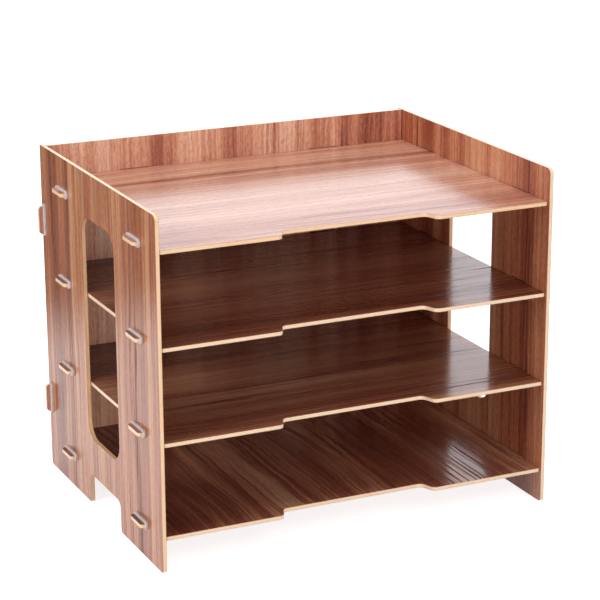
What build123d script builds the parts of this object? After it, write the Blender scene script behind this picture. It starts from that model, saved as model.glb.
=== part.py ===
from build123d import *
import math
import os

# Tiered document tray: thin boards that slot together, held by rubber rings on their tabs.
# The origin is on the floor under the middle. X runs to the right, Y to the back, Z up.

# Overall sizes
board = 3.0  # thickness of every board
outer_width = 320.0  # between the outer faces of the two sides
side_depth = 246.0  # front edge to rear edge of a side

# Levels, from the floor up
leg_clear = 24.75  # floor to the underside of the lowest shelf
tier_clear = 68.4  # open height between two shelves
rim_height = 25.55  # a side stands this far above the top shelf

# Play between the boards
shelf_end_play = 0.5  # from each end of a shelf to a side
shelf_rear_play = 0.2  # from a shelf to the back
back_end_play = 0.5  # from each end of the back to a side
slot_end_play = 1.55  # at each end of a tab in its slot
slot_face_play = 0.5  # beside one broad face of a tab in its slot

# Tabs, the same on every board
tab_width = 22.5
tab_reach = 5.0  # beyond the board that the tab passes through
tab_corner = 2.5  # radius of the two outer corners
side_tab_front = 41.6  # front edge of a side to the middle of the front tabs
side_tab_rear = 50.9  # rear edge of a side to the middle of the rear tabs
rear_tab_spacing = 166.0  # between the middles of a shelf's two rear tabs
back_tab_margin = 59.5  # upper or lower edge of the back to the middle of its tabs

# Rubber rings
ring_length = 1.8  # along the tab
ring_over_face = 1.8  # on the tab's broad faces
ring_over_end = 1.7  # at the tab's narrow ends
ring_soft_edge = 0.8  # rounding of its outward rim

# Window and leg arch of a side
window_width = 68.5
window_radius = 15.0
window_over_bottom_shelf = 27.5  # sill above the lowest shelf
window_under_top_shelf = 6.1  # upper edge below the underside of the top shelf
arch_width = 66.0
arch_radius = 6.0
opening_shift = -4.3  # middle of window and arch, from the middle of the side

# Outer corners of a side
top_front_radius = 5.0
heel_radius = 3.0
toe_radius = 3.0

# Back and shelves
back_inset = 4.5  # rear edge of a side to the rear face of the back
shelf_setback = 1.5  # front edge of a side to the front edge of a shelf
shelf_corner = 1.5
recess_width = 121.0  # finger recess, between the middles of its two slanted ends
recess_depth = 12.0
recess_slant = 69.0  # angle between those ends and the front edge
recess_radius = 5.0

# Heights
shelf_names = ["bottom_shelf", "third_shelf", "second_shelf", "top_shelf"]
undersides = [leg_clear + level * (tier_clear + board) for level in range(len(shelf_names))]
side_height = undersides[-1] + board + rim_height
window_sill = undersides[0] + board + window_over_bottom_shelf
window_top = undersides[-1] - window_under_top_shelf
back_tab_heights = [back_tab_margin, side_height - back_tab_margin]

# Faces and edges
outer_x = outer_width / 2
inner_x = outer_x - board
front_y = -side_depth / 2
rear_y = side_depth / 2
back_rear_y = rear_y - back_inset
shelf_front_y = front_y + shelf_setback
shelf_rear_y = back_rear_y - board - shelf_rear_play
shelf_end_x = inner_x - shelf_end_play
back_end_x = inner_x - back_end_play
side_tab_places = [front_y + side_tab_front, rear_y - side_tab_rear]
rear_tab_places = [-rear_tab_spacing / 2, rear_tab_spacing / 2]

# Slots and the ends of the tabs
slot_length = tab_width + 2 * slot_end_play
slot_height = board + slot_face_play
tab_end_x = outer_x + tab_reach
tab_end_y = back_rear_y + tab_reach

# Finger recess: half its length at the front edge and at its bottom
recess_run = recess_depth / math.tan(math.radians(recess_slant))
recess_mouth = (recess_width + recess_run) / 2
recess_bottom = (recess_width - recess_run) / 2

# Two roundings share each slanted end, so each may take up just under half of it
slant_share = 0.49 * recess_depth / math.sin(math.radians(recess_slant))
recess_round = min(recess_radius, slant_share / math.tan(math.radians(recess_slant / 2)))


def corner(sketch, x, y):
    return sketch.vertices().sort_by_distance((x, y, 0))[0]


def save(piece, name):
    piece.part.label = name
    export_step(piece.part, f"parts/{name}.step")


os.makedirs("parts", exist_ok=True)

# Sides: a sheet in the YZ plane with its window, leg arch and slots
for side_name, outward in [("left_side", -1), ("right_side", 1)]:
    inner_face = Plane(origin=(outward * inner_x, 0, 0), x_dir=(0, 1, 0), z_dir=(1, 0, 0))
    with BuildPart() as side:
        with BuildSketch(inner_face) as sheet:
            Rectangle(side_depth, side_height, align=(Align.CENTER, Align.MIN))
            with Locations((opening_shift, 0)):
                Rectangle(arch_width, leg_clear, align=(Align.CENTER, Align.MIN), mode=Mode.SUBTRACT)
            for end in (-1, 1):
                arch_end = opening_shift + end * arch_width / 2
                fillet(corner(sheet, arch_end, leg_clear), arch_radius)
                fillet(corner(sheet, arch_end, 0), heel_radius)
            fillet(corner(sheet, rear_y, 0), heel_radius)
            fillet(corner(sheet, front_y, 0), toe_radius)
            fillet(corner(sheet, front_y, side_height), top_front_radius)
            with Locations((opening_shift, (window_sill + window_top) / 2)):
                RectangleRounded(window_width, window_top - window_sill, window_radius, mode=Mode.SUBTRACT)
            for underside in undersides:
                with Locations(*[(place, underside + slot_height / 2) for place in side_tab_places]):
                    Rectangle(slot_length, slot_height, mode=Mode.SUBTRACT)
            with Locations(*[(back_rear_y - slot_height / 2, height) for height in back_tab_heights]):
                Rectangle(slot_height, slot_length, mode=Mode.SUBTRACT)
        extrude(amount=outward * board)
    save(side, side_name)

# Back: a sheet between the sides, with two tabs at each end and a slot for each rear tab of a shelf
with BuildPart() as back:
    with BuildSketch(Plane(origin=(0, back_rear_y, 0), x_dir=(1, 0, 0), z_dir=(0, -1, 0))) as sheet:
        Rectangle(2 * back_end_x, side_height, align=(Align.CENTER, Align.MIN))
        with Locations(*[(0, height) for height in back_tab_heights]):
            Rectangle(2 * tab_end_x, tab_width)
        for height in back_tab_heights:
            for tab_edge in (height - tab_width / 2, height + tab_width / 2):
                for tab_end in (-tab_end_x, tab_end_x):
                    fillet(corner(sheet, tab_end, tab_edge), tab_corner)
        for underside in undersides:
            with Locations(*[(place, underside + slot_height / 2) for place in rear_tab_places]):
                Rectangle(slot_length, slot_height, mode=Mode.SUBTRACT)
    extrude(amount=board)
save(back, "back_panel")

# Shelves: four alike, each with two tabs at each end, two at the rear and a finger recess in front
for shelf_name, underside in zip(shelf_names, undersides):
    with BuildPart() as shelf:
        with BuildSketch(Plane.XY.offset(underside)) as sheet:
            with Locations((0, (shelf_front_y + shelf_rear_y) / 2)):
                Rectangle(2 * shelf_end_x, shelf_rear_y - shelf_front_y)
            with Locations(*[(0, place) for place in side_tab_places]):
                Rectangle(2 * tab_end_x, tab_width)
            with Locations(*[(place, 0) for place in rear_tab_places]):
                Rectangle(tab_width, tab_end_y, align=(Align.CENTER, Align.MIN))
            with BuildLine():
                Polyline(
                    (-recess_mouth, shelf_front_y),
                    (-recess_bottom, shelf_front_y + recess_depth),
                    (recess_bottom, shelf_front_y + recess_depth),
                    (recess_mouth, shelf_front_y),
                    close=True,
                )
            make_face(mode=Mode.SUBTRACT)
            for end in (-1, 1):
                fillet(corner(sheet, end * recess_mouth, shelf_front_y), recess_round)
                fillet(corner(sheet, end * recess_bottom, shelf_front_y + recess_depth), recess_round)
                fillet(corner(sheet, end * shelf_end_x, shelf_front_y), shelf_corner)
                for place in side_tab_places:
                    for tab_edge in (place - tab_width / 2, place + tab_width / 2):
                        fillet(corner(sheet, end * tab_end_x, tab_edge), tab_corner)
            for place in rear_tab_places:
                for tab_edge in (place - tab_width / 2, place + tab_width / 2):
                    fillet(corner(sheet, tab_edge, tab_end_y), tab_corner)
        extrude(amount=board)
    save(shelf, shelf_name)


# Rings: one round every tab, against the board that the tab comes out of
def make_ring(name, seat):
    with BuildPart() as ring:
        with BuildSketch(seat):
            SlotOverall(tab_width + 2 * ring_over_end, board + 2 * ring_over_face)
            Rectangle(tab_width, board, mode=Mode.SUBTRACT)
        extrude(amount=ring_length)
        outward_face = ring.faces().sort_by(Axis(seat.origin, seat.z_dir))[-1]
        fillet(outward_face.outer_wire().edges(), ring_soft_edge)
    save(ring, name)


for side_name, outward in [("left", -1), ("right", 1)]:
    for shelf_name, underside in zip(shelf_names, undersides):
        for place_name, place in zip(["front", "rear"], side_tab_places):
            seat = Plane(
                origin=(outward * outer_x, place, underside + board / 2),
                x_dir=(0, 1, 0),
                z_dir=(outward, 0, 0),
            )
            make_ring(f"{side_name}_{place_name}_ring_{shelf_name}", seat)
    for height_name, height in zip(["lower", "upper"], back_tab_heights):
        seat = Plane(
            origin=(outward * outer_x, back_rear_y - board / 2, height),
            x_dir=(0, 0, 1),
            z_dir=(outward, 0, 0),
        )
        make_ring(f"{side_name}_{height_name}_ring_back_panel", seat)

for shelf_name, underside in zip(shelf_names, undersides):
    for place_name, place in zip(["left", "right"], rear_tab_places):
        seat = Plane(
            origin=(place, back_rear_y, underside + board / 2),
            x_dir=(1, 0, 0),
            z_dir=(0, 1, 0),
        )
        make_ring(f"back_{place_name}_ring_{shelf_name}", seat)
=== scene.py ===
import math

import bpy
from mathutils import Euler, Matrix, Vector


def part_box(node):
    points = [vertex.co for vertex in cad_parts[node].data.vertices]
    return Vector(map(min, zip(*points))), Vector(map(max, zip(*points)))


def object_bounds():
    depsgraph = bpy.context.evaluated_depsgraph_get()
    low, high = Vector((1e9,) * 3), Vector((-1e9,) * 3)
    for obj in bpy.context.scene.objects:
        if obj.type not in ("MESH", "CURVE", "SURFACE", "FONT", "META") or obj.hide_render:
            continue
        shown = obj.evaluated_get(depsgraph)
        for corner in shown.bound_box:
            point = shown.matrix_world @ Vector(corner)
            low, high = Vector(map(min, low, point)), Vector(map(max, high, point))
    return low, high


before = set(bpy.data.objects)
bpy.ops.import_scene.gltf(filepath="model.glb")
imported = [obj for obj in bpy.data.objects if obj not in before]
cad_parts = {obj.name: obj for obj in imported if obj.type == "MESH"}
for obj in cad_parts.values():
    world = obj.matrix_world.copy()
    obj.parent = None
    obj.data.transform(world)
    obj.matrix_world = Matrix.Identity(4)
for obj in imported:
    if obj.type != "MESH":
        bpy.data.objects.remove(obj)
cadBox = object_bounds()
scene = bpy.context.scene

noTint = (1.0, 1.0, 1.0)
white = (1.0, 1.0, 1.0, 1.0)


# Node helpers

def addNode(tree, kind, inputs=None, **settings):
    node = tree.nodes.new("ShaderNode" + kind)
    for name, value in settings.items():
        setattr(node, name, value)
    for name, value in (inputs or {}).items():
        setInput(tree, node.inputs[name], value)
    return node


def setInput(tree, socket, value):
    if isinstance(value, bpy.types.NodeSocket):
        tree.links.new(value, socket)
    else:
        socket.default_value = value


def calc(tree, operation, first, second=0.0, clamp=False):
    node = addNode(tree, "Math", operation=operation, use_clamp=clamp)
    setInput(tree, node.inputs[0], first)
    setInput(tree, node.inputs[1], second)
    return node.outputs[0]


def stretch(tree, value, low, high, newLow=0.0, newHigh=1.0):
    # low..high becomes newLow..newHigh, and nothing goes past the ends
    inputs = {"Value": value, "From Min": low, "From Max": high, "To Min": newLow, "To Max": newHigh}
    return addNode(tree, "MapRange", inputs, clamp=True).outputs[0]


def mixColor(tree, share, first, second, blend="MIX"):
    # A Mix node has its colour sockets at 6 and 7, and the mixed colour comes out at 2
    node = addNode(tree, "Mix", data_type="RGBA", blend_type=blend)
    setInput(tree, node.inputs[0], share)
    setInput(tree, node.inputs[6], first)
    setInput(tree, node.inputs[7], second)
    return node.outputs[2]


def rampColor(tree, value, stops):
    ramp = addNode(tree, "ValToRGB", {"Fac": value})
    points = ramp.color_ramp.elements
    while len(points) < len(stops):
        points.new(1.0)
    for point, (place, color) in zip(points, stops):
        point.position = place
        point.color = (*color, 1.0)
    return ramp.outputs[0]


def tinted(color, tint, palest=0.97):
    return tuple(min(part * share, palest) for part, share in zip(color, tint))


def newMaterial(name):
    material = bpy.data.materials.new(name)
    material.use_nodes = True
    tree = material.node_tree
    tree.nodes.clear()
    return material, tree


def finishMaterial(tree, shader):
    output = addNode(tree, "OutputMaterial")
    tree.links.new(shader.outputs[0], output.inputs["Surface"])


# Wood-grain film on the broad faces

film = {
    "streak": (0.19, 0.045, 0.028),  # darkest to lightest
    "russet": (0.37, 0.115, 0.060),
    "middle": (0.54, 0.215, 0.115),
    "tan": (0.69, 0.345, 0.195),
    "gold": (0.80, 0.490, 0.300),
    "line": (0.17, 0.042, 0.026),
    "pore": (0.24, 0.080, 0.045),
    "broadStreaks": 1.3,  # strength of streaks 5 to 20 mm wide
    "fineStreaks": 1.5,  # strength of streaks 1 to 3 mm wide
    "mottle": 0.55,  # strength of the finest specks
    "lineFrom": 0.53,  # a thin dark line begins where its noise passes this
    "lineFull": 0.63,  # and is at its darkest from here
    "bunchStart": 0.42,  # lower: more of the board carries dark lines
    "bunchFade": 0.16,
    "lineOnDark": 0.35,  # on this tone and darker the lines are at full strength
    "lineOnPale": 0.90,  # on this tone and lighter they are faint
    "faintLine": 0.25,  # how much is left of them there
    "poreFrom": 0.57,
    "poreFull": 0.70,
    "poreStrength": 0.35,
    "poreDepth": 0.3,  # against the height of the pressed grain
    "faceShift": 7.3,  # gives the two faces of a board different figures
    "bunchShift": 3.7,  # and the bunches another pattern than the lines
    "roughness": 0.17,
    "unevenness": 0.03,  # the roughness goes up and down by this much
    "lineMatt": 0.38,  # added roughness in the dark lines, which are pressed in
    "gloss": 1.45,  # index of refraction
    "groove": 0.000016,  # depth of the pressed grain in metres
}

# Layers of the grain: waves per metre along it and across it, then detail and roughness of the noise
grainLayers = {
    "drift": (5.0, 9.0, 2.0, 0.5),
    "ripple": (50.0, 70.0, 1.0, 0.5),
    "broad": (1.2, 52.0, 5.0, 0.62),
    "fine": (6.0, 380.0, 3.0, 0.6),
    "specks": (260.0, 800.0, 2.0, 0.6),
    "hairs": (9.0, 430.0, 1.0, 0.5),
    "bunches": (1.5, 45.0, 1.0, 0.5),
    "pores": (170.0, 1100.0, 1.0, 0.5),
    "ridges": (8.0, 520.0, 2.0, 0.5),
}


def grainNoise(tree, layer, along, across, sheet):
    perAlong, perAcross, detail, roughness = grainLayers[layer]
    place = addNode(tree, "CombineXYZ", {
        "X": calc(tree, "MULTIPLY", along, perAlong),
        "Y": calc(tree, "MULTIPLY", across, perAcross),
        "Z": sheet,
    }).outputs[0]
    inputs = {"Vector": place, "Scale": 1.0, "Detail": detail, "Roughness": roughness}
    return addNode(tree, "TexNoise", inputs).outputs["Fac"]


def offCentre(tree, noise, strength):
    return calc(tree, "MULTIPLY", calc(tree, "SUBTRACT", noise, 0.5), strength)


def bandTone(tree, line, bands):
    # bands: places across the board in mm, each with its tone from 0, dark, to 1, gold
    low, high = bands[0][0], bands[-1][0]
    share = stretch(tree, line, low / 1000, high / 1000)
    stops = [((place - low) / (high - low), (tone, tone, tone)) for place, tone in bands]
    return rampColor(tree, share, stops)


def filmMaterial(name, look):
    material, tree = newMaterial(name)
    place = addNode(tree, "TexCoord").outputs["Object"]
    axes = addNode(tree, "SeparateXYZ", {"Vector": place})
    along = axes.outputs[look["along"]]
    across = axes.outputs[look["across"]]
    through = axes.outputs[look["through"]]
    darkTint = look.get("darkTint", noTint)

    # The face that is hidden in the photo has the same bands the other way round
    towardsShown = "GREATER_THAN" if look["shown"] > 0 else "LESS_THAN"
    shownFace = calc(tree, towardsShown, through, look["middle"])
    sheet = calc(tree, "ADD", calc(tree, "MULTIPLY", shownFace, film["faceShift"]), look["seed"])
    across = calc(tree, "MULTIPLY", across, stretch(tree, shownFace, 0.0, 1.0, -1.0, 1.0))

    # The grain drifts a little to the side as it runs
    drift = grainNoise(tree, "drift", along, across, sheet)
    ripple = grainNoise(tree, "ripple", along, across, sheet)
    line = calc(tree, "ADD", across, offCentre(tree, drift, look["drift"]))
    line = calc(tree, "ADD", line, offCentre(tree, ripple, look["ripple"]))

    # Broad bands, then streaks and specks on them
    broad = grainNoise(tree, "broad", along, line, sheet)
    fine = grainNoise(tree, "fine", along, line, sheet)
    specks = grainNoise(tree, "specks", along, line, sheet)
    broadPart = offCentre(tree, broad, film["broadStreaks"] * look["streaks"])
    finePart = offCentre(tree, fine, film["fineStreaks"] * look["streaks"])
    tone = calc(tree, "ADD", bandTone(tree, line, look["bands"]), broadPart)
    tone = calc(tree, "ADD", tone, offCentre(tree, specks, film["mottle"]))
    tone = calc(tree, "ADD", tone, finePart, clamp=True)
    # Each board's tint gives its colour together with its painted light or shade
    shades = [tinted(film["streak"], darkTint), tinted(film["russet"], darkTint)]
    shades += [film["middle"], film["tan"], film["gold"]]
    stops = [(step / 4, tinted(shade, look["tint"])) for step, shade in enumerate(shades)]
    wood = rampColor(tree, tone, stops)

    # Thin dark lines stand in bunches, mostly where the film is dark already
    hairs = grainNoise(tree, "hairs", along, line, sheet)
    otherSheet = calc(tree, "ADD", sheet, film["bunchShift"])
    bunches = grainNoise(tree, "bunches", along, line, otherSheet)
    bunchStart = look.get("bunchStart", film["bunchStart"])
    inBunch = stretch(tree, bunches, bunchStart, bunchStart + film["bunchFade"])
    onTone = stretch(tree, tone, film["lineOnPale"], film["lineOnDark"],
                     film["faintLine"] * look["lines"], look["lines"])
    lineShare = calc(tree, "MULTIPLY", stretch(tree, hairs, film["lineFrom"], film["lineFull"]), inBunch)
    lineShare = calc(tree, "MULTIPLY", lineShare, onTone)
    wood = mixColor(tree, lineShare, wood, (*tinted(film["line"], darkTint), 1.0))

    # Short pores
    pores = stretch(tree, grainNoise(tree, "pores", along, line, sheet), film["poreFrom"], film["poreFull"])
    poreShare = calc(tree, "MULTIPLY", pores, film["poreStrength"])
    wood = mixColor(tree, poreShare, wood, (*film["pore"], 1.0))

    # Pressed grooves follow the grain
    ridges = grainNoise(tree, "ridges", along, line, sheet)
    height = calc(tree, "SUBTRACT", ridges, calc(tree, "MULTIPLY", pores, film["poreDepth"]))
    bump = addNode(tree, "Bump", {"Height": height, "Strength": 1.0, "Distance": film["groove"]})

    # The film is a little uneven, and matt in the dark lines
    mattest = film["roughness"] + film["unevenness"]
    glossiest = film["roughness"] - film["unevenness"]
    roughness = stretch(tree, fine, 0.3, 0.7, mattest, glossiest)
    roughness = calc(tree, "ADD", roughness, calc(tree, "MULTIPLY", lineShare, film["lineMatt"]))
    shader = addNode(tree, "BsdfPrincipled", {
        "Base Color": wood,
        "Roughness": roughness,
        "IOR": film["gloss"],
        "Normal": bump.outputs[0],
    })
    finishMaterial(tree, shader)
    return material


# Raw board edge, with the film's own edge as a thin dark line on both sides

rawEdge = {
    "light": (0.97, 0.70, 0.47),
    "dark": (0.84, 0.54, 0.31),
    "core": (0.95, 0.68, 0.47),
    # painted shade: the cut round the window darker and more saturated than the outer edges
    "windowCutShade": (0.82, 0.47, 0.22),
    "filmLine": (0.42, 0.20, 0.10),
    "fibres": 900.0,  # scale of the fine noise
    "patches": 60.0,  # scale of the coarse noise
    "fibreShare": 0.6,
    "patchShare": 0.4,
    "lightFrom": 0.45,  # the light shade is reached at this tone
    "coreStrength": 0.8,
    "coreFull": 0.15,  # shares of half the thickness, from the middle outwards
    "coreGone": 0.55,
    "windowShadeStrength": 0.8,
    "filmStrength": 0.7,
    "filmThickness": 0.00028,  # metres
    "fuzz": 0.0001,  # depth of the fibres in metres
    "fuzzStrength": 0.4,
    "roughness": 0.36,
    "gloss": 1.6,  # index of refraction
}


def insideWindow(tree, axes, window):
    # the strength of the painted shade on the cut round the window, 0 on the board's outline
    share = rawEdge["windowShadeStrength"]
    for axis, (low, high) in window.items():
        share = calc(tree, "MULTIPLY", share, calc(tree, "GREATER_THAN", axes.outputs[axis], low))
        share = calc(tree, "MULTIPLY", share, calc(tree, "LESS_THAN", axes.outputs[axis], high))
    return share


def edgeMaterial(name, look):
    material, tree = newMaterial(name)
    place = addNode(tree, "TexCoord").outputs["Object"]
    axes = addNode(tree, "SeparateXYZ", {"Vector": place})
    through = axes.outputs[look["through"]]
    edgeTint = look.get("edgeTint", noTint)

    # Fibres and patches
    fibreInputs = {"Vector": place, "Scale": rawEdge["fibres"], "Detail": 4.0, "Roughness": 0.7}
    patchInputs = {"Vector": place, "Scale": rawEdge["patches"], "Detail": 2.0}
    fibres = addNode(tree, "TexNoise", fibreInputs).outputs["Fac"]
    patches = addNode(tree, "TexNoise", patchInputs).outputs["Fac"]
    tone = calc(tree, "ADD", calc(tree, "MULTIPLY", fibres, rawEdge["fibreShare"]),
                calc(tree, "MULTIPLY", patches, rawEdge["patchShare"]))
    shades = [(0.0, tinted(rawEdge["dark"], edgeTint)),
              (rawEdge["lightFrom"], tinted(rawEdge["light"], edgeTint))]
    board = rampColor(tree, stretch(tree, tone, 0.35, 0.65), shades)

    # The core of the board, the painted shade on the window's cut, and the film's edge
    fromMiddle = calc(tree, "ABSOLUTE", calc(tree, "SUBTRACT", through, look["middle"]))
    coreShare = stretch(tree, fromMiddle, look["half"] * rawEdge["coreFull"],
                        look["half"] * rawEdge["coreGone"], rawEdge["coreStrength"], 0.0)
    board = mixColor(tree, coreShare, board, (*tinted(rawEdge["core"], edgeTint), 1.0))
    if "window" in look:
        inWindow = insideWindow(tree, axes, look["window"])
        board = mixColor(tree, inWindow, board, (*rawEdge["windowCutShade"], 1.0))
    inFilm = calc(tree, "GREATER_THAN", fromMiddle, look["half"] - rawEdge["filmThickness"])
    filmShare = calc(tree, "MULTIPLY", inFilm, rawEdge["filmStrength"])
    board = mixColor(tree, filmShare, board, (*rawEdge["filmLine"], 1.0))

    bumpInputs = {"Height": fibres, "Strength": rawEdge["fuzzStrength"], "Distance": rawEdge["fuzz"]}
    bump = addNode(tree, "Bump", bumpInputs)
    shader = addNode(tree, "BsdfPrincipled", {
        "Base Color": board,
        "Roughness": rawEdge["roughness"],
        "IOR": rawEdge["gloss"],
        "Normal": bump.outputs[0],
    })
    finishMaterial(tree, shader)
    return material


# Boards. through, along, across: the axes of the thickness and of the grain
# shown: the side of the face that the photo shows. seed: its own figure
# drift, ripple: how far the grain wanders, in metres. streaks, lines: their strength
# tint for the film, which also paints light and shade per board, as all boards share one film; darkTint for
# its dark shades alone; edgeTint for the raw edge, painted shade on the top shelf
# window: the room round the window's cut, in metres. bands: see bandTone

boards = {
    "left_side": {
        "through": "X", "along": "Z", "across": "Y", "shown": -1, "seed": 1.0,
        "drift": 0.015, "ripple": 0.0014, "streaks": 1.05, "lines": 1.0,
        # tint darker than the other boards: painted shade against the strong light from the left; edgeTint
        # gives a warmer raw edge
        "tint": (0.84, 0.69, 0.59), "darkTint": (1.08, 1.30, 1.15), "edgeTint": (0.98, 0.90, 0.78),
        "window": {"Y": (-0.050, 0.040), "Z": (0.040, 0.240)},
        "bands": [(-123, 0.50), (-113, 0.58), (-109, 0.86), (-104, 0.86), (-101, 0.42), (-90, 0.24),
                  (-84, 0.42), (-77, 0.20), (-72, 0.42), (-64, 0.34), (-58, 0.66), (-42, 0.70),
                  (-34, 0.50), (-22, 0.76), (-8, 0.56), (4, 0.78), (14, 0.52), (25, 0.84), (38, 0.52),
                  (46, 0.62), (50, 0.94), (56, 0.94), (59, 0.42), (68, 0.24), (78, 0.46), (88, 0.24),
                  (100, 0.34), (112, 0.40), (123, 0.46)],
    },
    "right_side": {
        "through": "X", "along": "Z", "across": "Y", "shown": -1, "seed": 22.0,
        "drift": 0.006, "ripple": 0.0010, "streaks": 0.66, "lines": 0.9,
        "tint": (1.00, 0.88, 0.84),
        "window": {"Y": (-0.050, 0.040), "Z": (0.040, 0.240)},
        "bands": [(-123, 0.48), (-110, 0.54), (-98, 0.42), (-88, 0.30), (-80, 0.42), (-66, 0.44),
                  (-58, 0.58), (-50, 0.76), (-20, 0.86), (5, 0.72), (11, 0.40), (20, 0.74), (31, 0.68),
                  (40, 0.36), (52, 0.84), (60, 0.34), (70, 0.22), (84, 0.46), (98, 0.38), (123, 0.34)],
    },
    "back_panel": {
        "through": "Y", "along": "Z", "across": "X", "shown": -1, "seed": 43.0,
        "drift": 0.008, "ripple": 0.0026, "streaks": 0.72, "lines": 0.7,
        # tint lighter and cooler than the other boards: painted light on the back panel
        "tint": (1.18, 1.28, 1.52),
        # bands: lighter from the left end to -74 mm, painted light where the back shows through the left
        # window; darker from 122 mm on, painted shade; the rest is grain
        "bands": [(-157, 0.62), (-130, 0.72), (-100, 0.80), (-74, 0.66), (-67, 0.32), (-55, 0.34),
                  (-48, 0.60), (-30, 0.74), (-12, 0.64), (-5, 0.34), (15, 0.40), (22, 0.72), (50, 0.78),
                  (70, 0.60), (76, 0.40), (92, 0.68), (104, 0.30), (112, 0.50), (122, 0.20),
                  (134, 0.20), (142, 0.48), (157, 0.45)],
    },
    "top_shelf": {
        "through": "Z", "along": "X", "across": "Y", "shown": 1, "seed": 64.0,
        "drift": 0.018, "ripple": 0.0010, "streaks": 0.7, "lines": 0.45,
        # tint cooler: painted reflection, the colour of the glare on the top shelf; edgeTint darker and
        # warmer: painted shade on its raw edge
        "tint": (0.94, 0.97, 1.15), "edgeTint": (1.00, 0.92, 0.80),
        "bands": [(-122, 0.48), (-95, 0.52), (-85, 0.44), (-70, 0.60), (-55, 0.60), (-45, 0.76),
                  (-30, 0.66), (-5, 0.76), (20, 0.69), (35, 0.64), (44, 0.50), (58, 0.80), (67, 0.22),
                  (74, 0.69), (95, 0.74), (110, 0.64)],
    },
    "second_shelf": {
        "through": "Z", "along": "X", "across": "Y", "shown": 1, "seed": 85.0,
        "drift": 0.016, "ripple": 0.0012, "streaks": 0.95, "lines": 1.0,
        # tint much darker: painted shade inside the tier; bands darkest from 75 mm back: painted shade deep
        # in the tier, the rest is grain
        "tint": (0.53, 0.46, 0.46),
        "bands": [(-122, 0.44), (-105, 0.32), (-85, 0.22), (-70, 0.48), (-40, 0.53), (-20, 0.43),
                  (0, 0.63), (30, 0.66), (45, 0.38), (60, 0.34), (75, 0.12), (110, 0.12)],
    },
    "third_shelf": {
        "through": "Z", "along": "X", "across": "Y", "shown": 1, "seed": 106.0,
        "drift": 0.016, "ripple": 0.0012, "streaks": 0.95, "lines": 1.0,
        # tint darker: painted shade inside the tier; bands darkest from 75 mm back: painted shade deep in
        # the tier, the rest is grain
        "tint": (0.70, 0.63, 0.62),
        "bands": [(-122, 0.63), (-105, 0.30), (-92, 0.43), (-75, 0.63), (-50, 0.68), (-30, 0.46),
                  (-10, 0.56), (20, 0.60), (45, 0.26), (60, 0.30), (75, 0.10), (110, 0.10)],
    },
    "bottom_shelf": {
        "through": "Z", "along": "Y", "across": "X", "shown": 1, "seed": 127.0,
        "drift": 0.028, "ripple": 0.0014, "streaks": 0.85, "lines": 1.0,
        # tint darker: painted shade inside the lowest tier; bands darkest from the left end to -120 mm:
        # painted shade there, the rest is grain
        "bunchStart": 0.24, "tint": (0.76, 0.72, 0.74),
        "bands": [(-157, 0.08), (-140, 0.16), (-120, 0.18), (-108, 0.36), (-96, 0.26), (-84, 0.48),
                  (-72, 0.30), (-62, 0.64), (-46, 0.62), (-36, 0.36), (-24, 0.50), (-12, 0.26),
                  (0, 0.24), (8, 0.58), (24, 0.52), (36, 0.24), (70, 0.16), (84, 0.40), (104, 0.30),
                  (116, 0.40), (126, 0.24), (136, 0.62), (157, 0.60)],
    },
}


def dressBoard(name, look):
    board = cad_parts[name]
    low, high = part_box(name)
    side = "XYZ".index(look["through"])
    look["middle"] = (low[side] + high[side]) / 2
    look["half"] = (high[side] - low[side]) / 2
    board.data.materials.clear()
    board.data.materials.append(filmMaterial(name + "_film", look))
    board.data.materials.append(edgeMaterial(name + "_edge", look))
    for face in board.data.polygons:
        isBroad = abs(face.normal[side]) > 0.7
        face.material_index = 0 if isBroad else 1


for name, look in boards.items():
    dressBoard(name, look)
print("boards dressed:", len(boards))


# Rubber rings on the tabs

ringRubber = {
    "pale": (0.96, 0.90, 0.88),
    "dull": (0.84, 0.77, 0.76),
    "clouds": 220.0,  # scale of the dull patches
    "grit": 2600.0,  # scale of the finest roughness
    "gritDepth": 0.00005,  # metres
    "gritStrength": 0.4,
    "roughness": 0.22,
    "seeThrough": 0.30,
}


def ringMaterial():
    material, tree = newMaterial("ring_rubber")
    place = addNode(tree, "TexCoord").outputs["Object"]
    cloudInputs = {"Vector": place, "Scale": ringRubber["clouds"], "Detail": 3.0}
    gritInputs = {"Vector": place, "Scale": ringRubber["grit"], "Detail": 2.0}
    clouds = addNode(tree, "TexNoise", cloudInputs).outputs["Fac"]
    grit = addNode(tree, "TexNoise", gritInputs).outputs["Fac"]
    color = mixColor(tree, stretch(tree, clouds, 0.35, 0.65),
                     (*ringRubber["dull"], 1.0), (*ringRubber["pale"], 1.0))
    bump = addNode(tree, "Bump", {
        "Height": grit,
        "Strength": ringRubber["gritStrength"],
        "Distance": ringRubber["gritDepth"],
    })
    shader = addNode(tree, "BsdfPrincipled", {
        "Base Color": color,
        "Roughness": ringRubber["roughness"],
        "Transmission Weight": ringRubber["seeThrough"],
        "Normal": bump.outputs[0],
    })
    finishMaterial(tree, shader)
    return material


rubber = ringMaterial()
ringNames = [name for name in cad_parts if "_ring_" in name]
for name in ringNames:
    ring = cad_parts[name]
    ring.data.materials.clear()
    ring.data.materials.append(rubber)
print("rings dressed:", len(ringNames))


# Floor: white, and it keeps the tray's shadow

floorLook = {
    "half": 1.5,  # half its length and width in metres
    "color": (0.85, 0.85, 0.85),
    "glow": 0.82,  # what the camera sees where the shadow is deepest
    "mirrored": 0.70,  # the same in what the film mirrors
    "fadeFrom": 0.40,  # behind the tray the floor darkens in what the sides mirror, in metres
    "fadeTo": 0.58,
    "faded": 0.12,
}


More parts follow.
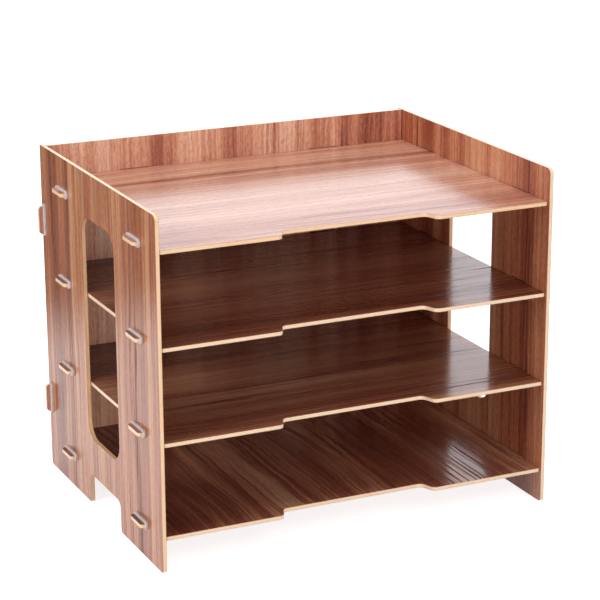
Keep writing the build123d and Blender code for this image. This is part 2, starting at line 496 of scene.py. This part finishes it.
def makeFloor():
    mesh = bpy.data.meshes.new("floor")
    half = floorLook["half"]
    corners = [(-half, -half, 0), (half, -half, 0), (half, half, 0), (-half, half, 0)]
    mesh.from_pydata(corners, [], [(0, 1, 2, 3)])
    floor = bpy.data.objects.new("floor", mesh)
    scene.collection.objects.link(floor)
    material, tree = newMaterial("floor_white")
    place = addNode(tree, "TexCoord").outputs["Object"]
    depth = addNode(tree, "SeparateXYZ", {"Vector": place}).outputs["Y"]
    rays = addNode(tree, "LightPath")
    fade = stretch(tree, depth, floorLook["fadeFrom"], floorLook["fadeTo"], 1.0, floorLook["faded"])
    fade = mixColor(tree, rays.outputs["Is Glossy Ray"], white, fade)
    paint = mixColor(tree, 1.0, fade, (*floorLook["color"], 1.0), "MULTIPLY")
    lit = addNode(tree, "BsdfDiffuse", {"Color": paint})
    toCamera = calc(tree, "MULTIPLY", rays.outputs["Is Camera Ray"], floorLook["glow"])
    toFilm = calc(tree, "MULTIPLY", rays.outputs["Is Glossy Ray"], floorLook["mirrored"])
    strength = calc(tree, "ADD", toCamera, calc(tree, "MULTIPLY", toFilm, fade))
    glow = addNode(tree, "Emission", {"Color": white, "Strength": strength})
    both = addNode(tree, "AddShader")
    tree.links.new(lit.outputs[0], both.inputs[0])
    tree.links.new(glow.outputs[0], both.inputs[1])
    finishMaterial(tree, both)
    mesh.materials.append(material)


makeFloor()
print("floor laid")


# World: white to the camera and in reflections, dimmer as a light

room = {
    "seen": 1.0,
    "ambient": 0.25,
}


def makeWorld():
    world = bpy.data.worlds.new("studio")
    scene.world = world
    world.use_nodes = True
    tree = world.node_tree
    tree.nodes.clear()
    rays = addNode(tree, "LightPath")
    seen = calc(tree, "MAXIMUM", rays.outputs["Is Camera Ray"], rays.outputs["Is Glossy Ray"])
    seen = calc(tree, "MAXIMUM", seen, rays.outputs["Is Transmission Ray"])
    strength = stretch(tree, seen, 0.0, 1.0, room["ambient"], room["seen"])
    light = addNode(tree, "Background", {"Color": white, "Strength": strength})
    output = addNode(tree, "OutputWorld")
    tree.links.new(light.outputs[0], output.inputs["Surface"])


makeWorld()
print("world set")


# Lamps. turn: from the front towards the right, and height: above the tray's middle, in degrees
# away and size in metres. mirrored: whether the film shows the lamp

lamps = {
    "top_softbox": {"turn": 0, "height": 89, "away": 1.5, "size": (1.2, 0.8), "watts": 11.4},
    "left_softbox": {"turn": -80, "height": 30, "away": 1.6, "size": (1.0, 0.5), "watts": 6.9},
    "left_strip": {"turn": -88, "height": 5, "away": 1.6, "size": (1.2, 0.3), "watts": 3.4,
                   "mirrored": False},
    "front_softbox": {"turn": -3, "height": 2, "away": 1.9, "size": (0.6, 0.3), "watts": 7.8},
    "brow_softbox": {"turn": 5, "height": 35, "away": 1.8, "size": (0.9, 0.6), "watts": 5.0},
    "backdrop_panel": {"turn": 154, "height": 18, "away": 1.7, "size": (1.7, 0.95), "watts": 5.0,
                       "color": (1.0, 0.94, 1.03)},
}


def makeLamp(name, look):
    lamp = bpy.data.lights.new(name, "AREA")
    lamp.shape = "RECTANGLE"
    lamp.size, lamp.size_y = look["size"]
    lamp.energy = look["watts"]
    lamp.color = look.get("color", noTint)
    turn = math.radians(look["turn"])
    height = math.radians(look["height"])
    aim = Vector((0, 0, cadBox[1][2] / 2))
    level = math.cos(height)
    outward = Vector((math.sin(turn) * level, -math.cos(turn) * level, math.sin(height)))
    holder = bpy.data.objects.new(name, lamp)
    holder.location = aim + outward * look["away"]
    holder.rotation_euler = (-outward).to_track_quat("-Z", "Y").to_euler()
    holder.visible_camera = False
    holder.visible_glossy = look.get("mirrored", True)
    scene.collection.objects.link(holder)


for name, look in lamps.items():
    makeLamp(name, look)
print("lamps:", len(lamps))


# Camera

cameraLook = {
    "place": (-0.67646, -1.46271, 0.64340),
    "turn": 25.571,  # degrees to the right of straight back
    "tilt": 17.618,  # degrees down
    "roll": -0.08,  # degrees
    "lens": 129.27,  # mm
    "sensor": 36.0,  # width in mm
    "shift": (-0.0306, 0.0420),
    "nearest": 0.05,  # metres
    "farthest": 50.0,
}


def makeCamera():
    data = bpy.data.cameras.new("camera")
    data.lens = cameraLook["lens"]
    data.sensor_width = cameraLook["sensor"]
    data.shift_x, data.shift_y = cameraLook["shift"]
    data.clip_start = cameraLook["nearest"]
    data.clip_end = cameraLook["farthest"]
    camera = bpy.data.objects.new("camera", data)
    lift = math.radians(90 - cameraLook["tilt"])  # a new camera looks straight down
    turn = Euler((lift, 0, -math.radians(cameraLook["turn"]))).to_matrix()
    turn = turn @ Matrix.Rotation(math.radians(cameraLook["roll"]), 3, "Z")
    camera.matrix_world = Matrix.Translation(cameraLook["place"]) @ turn.to_4x4()
    scene.collection.objects.link(camera)
    scene.camera = camera


makeCamera()
scene.view_settings.view_transform = "Standard"
print("camera set")
